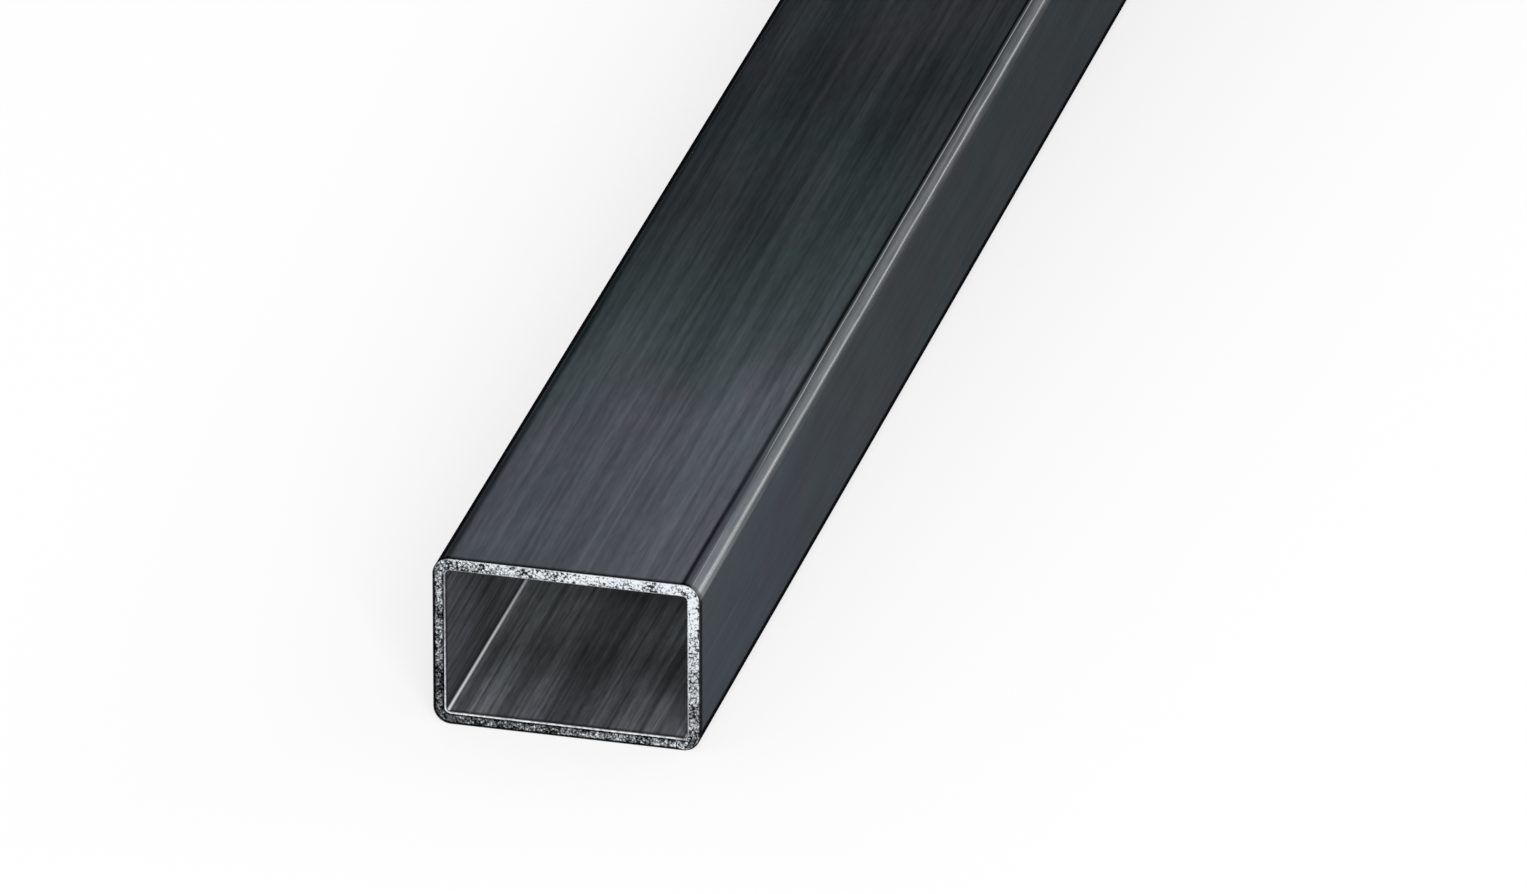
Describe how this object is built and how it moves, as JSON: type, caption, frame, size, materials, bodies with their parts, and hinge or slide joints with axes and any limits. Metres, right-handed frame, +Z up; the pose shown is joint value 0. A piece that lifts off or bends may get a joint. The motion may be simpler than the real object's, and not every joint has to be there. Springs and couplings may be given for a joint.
{
  "type": "rectangular metal tube",
  "caption": "Straight stick of dark mill-finish rectangular steel tube with rounded long edges, hollow from end to end, saw-cut square, used as stock for frames and brackets.",
  "frame": {"origin": "middle of the stick on the floor, under the centre of the lower wide face", "axes": "+Y along the tube, +X across the wide faces, +Z up out of the upper wide face; the cut that the picture shows is at -Y"},
  "size_m": [0.06, 1, 0.04],
  "materials": {
    "mill_steel": "dark blue-grey mill skin with fine lengthwise roll marks; bare bright metal on the two saw cuts"
  },
  "bodies": {
    "root": {"tube": "mill_steel"}
  },
  "joints": []
}
